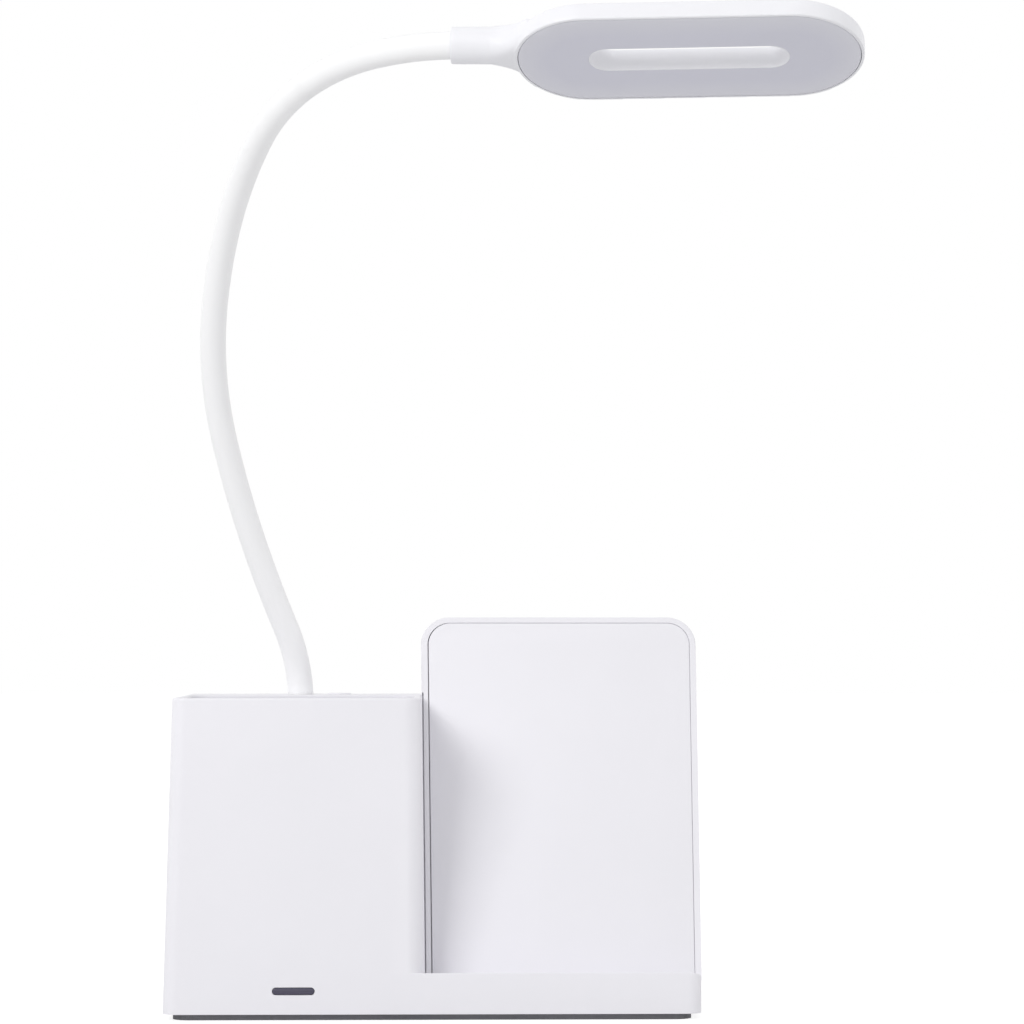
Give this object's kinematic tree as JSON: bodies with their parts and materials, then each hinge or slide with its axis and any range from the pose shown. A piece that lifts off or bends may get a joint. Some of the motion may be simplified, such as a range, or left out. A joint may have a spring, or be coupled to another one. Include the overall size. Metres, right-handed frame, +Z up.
{
  "type": "desk lamp with pen pot and phone rest",
  "caption": "White desk lamp: an oval ring light head on a curved flexible neck over a low base with a square pen pot and a leaning phone rest behind a ledge.",
  "frame": {"origin": "centre of the base's footprint, on the surface the pad rests on", "axes": "+X to the phone rest's side, +Y to the rear, +Z up; the front faces -Y"},
  "size_m": [0.1921, 0.1535, 0.2765],
  "materials": {
    "white_abs": "fine satin",
    "silicone_white": "smooth silk",
    "opal_diffuser": "opal satin",
    "smoked_lens": "polished",
    "rubber_dark": "matte",
    "screw_steel": "zinc plated",
    "ballast_steel": "blackened",
    "circuit_board": "solder mask",
    "chip_black": "moulded",
    "socket_steel": "satin",
    "plastic_black": "satin",
    "led_white": "clear",
    "coil_copper": "enamelled",
    "ferrite": "dull",
    "carrier_grey": "satin",
    "nickel": "satin",
    "core_steel": "plain",
    "lead_grey": "satin",
    "led_board_white": "white mask",
    "led_yellow": "phosphor",
    "film_white": "reflective"
  },
  "bodies": {
    "base": {"main_shell": "white_abs", "charging_plate": "white_abs", "bottom_cover": "white_abs", "base_pad": "rubber_dark", "cover_screws": "screw_steel", "ballast_plate": "ballast_steel", "ballast_screws": "screw_steel", "main_board": "circuit_board", "board_parts": "chip_black", "board_screws": "screw_steel", "usb_socket": "socket_steel", "usb_tongue": "plastic_black", "indicator_lens": "smoked_lens", "indicator_led": "led_white", "coil_winding": "coil_copper", "ferrite_sheet": "ferrite", "coil_carrier": "carrier_grey", "carrier_screws": "screw_steel", "charge_board": "circuit_board", "charge_parts": "chip_black", "tact_switch": "plastic_black", "switch_board": "circuit_board", "switch_screws": "screw_steel", "neck_ferrule": "nickel", "neck_washer": "screw_steel", "neck_nut": "screw_steel", "base_lead": "lead_grey", "neck_sleeve_1": "silicone_white", "neck_core_1": "core_steel", "neck_lead_1": "lead_grey"},
    "neck_2": {"neck_sleeve_2": "silicone_white", "neck_core_2": "core_steel", "neck_lead_2": "lead_grey"},
    "neck_3": {"neck_sleeve_3": "silicone_white", "neck_core_3": "core_steel", "neck_lead_3": "lead_grey"},
    "neck_4": {"neck_sleeve_4": "silicone_white", "neck_core_4": "core_steel", "neck_lead_4": "lead_grey"},
    "neck_5": {"neck_sleeve_5": "silicone_white", "neck_core_5": "core_steel", "neck_lead_5": "lead_grey"},
    "neck_6": {"neck_sleeve_6": "silicone_white", "neck_core_6": "core_steel", "neck_lead_6": "lead_grey", "head_spigot": "nickel"},
    "head": {"head_housing": "white_abs", "collar_screw": "screw_steel", "diffuser": "opal_diffuser", "led_board": "led_board_white", "led_chips": "led_yellow", "reflector_film": "film_white", "head_lead": "lead_grey"},
    "button": {"power_button": "white_abs", "switch_plunger": "plastic_black"}
  },
  "joints": [
    {"name": "neck_bend_1", "type": "hinge", "parent": "base", "child": "neck_2", "pos_m": [-0.04441, 0.02505, 0.11141], "axis": [1, 0, 0], "range_deg": [-20, 20]},
    {"name": "neck_bend_2", "type": "hinge", "parent": "neck_2", "child": "neck_3", "pos_m": [-0.06143, 0.01272, 0.16409], "axis": [0, 1, 0], "range_deg": [-20, 20]},
    {"name": "neck_bend_3", "type": "hinge", "parent": "neck_3", "child": "neck_4", "pos_m": [-0.06341, -0.00758, 0.20668], "axis": [1, 0, 0], "range_deg": [-20, 20]},
    {"name": "neck_bend_4", "type": "hinge", "parent": "neck_4", "child": "neck_5", "pos_m": [-0.04934, -0.04166, 0.24754], "axis": [0, 1, 0], "range_deg": [-20, 20]},
    {"name": "neck_bend_5", "type": "hinge", "parent": "neck_5", "child": "neck_6", "pos_m": [-0.01389, -0.07434, 0.26732], "axis": [0, 0, 1], "range_deg": [-20, 20]},
    {"name": "head_roll", "type": "hinge", "parent": "neck_6", "child": "head", "pos_m": [0.00698, -0.0808, 0.26845], "axis": [0.9922, -0.1235, -0.0194], "range_deg": [-30, 30]},
    {"name": "button_press", "type": "slide", "parent": "base", "child": "button", "axis": [0, 0, -1], "range_m": [0, 0.0006], "stiffness_N_per_m": 300}
  ]
}
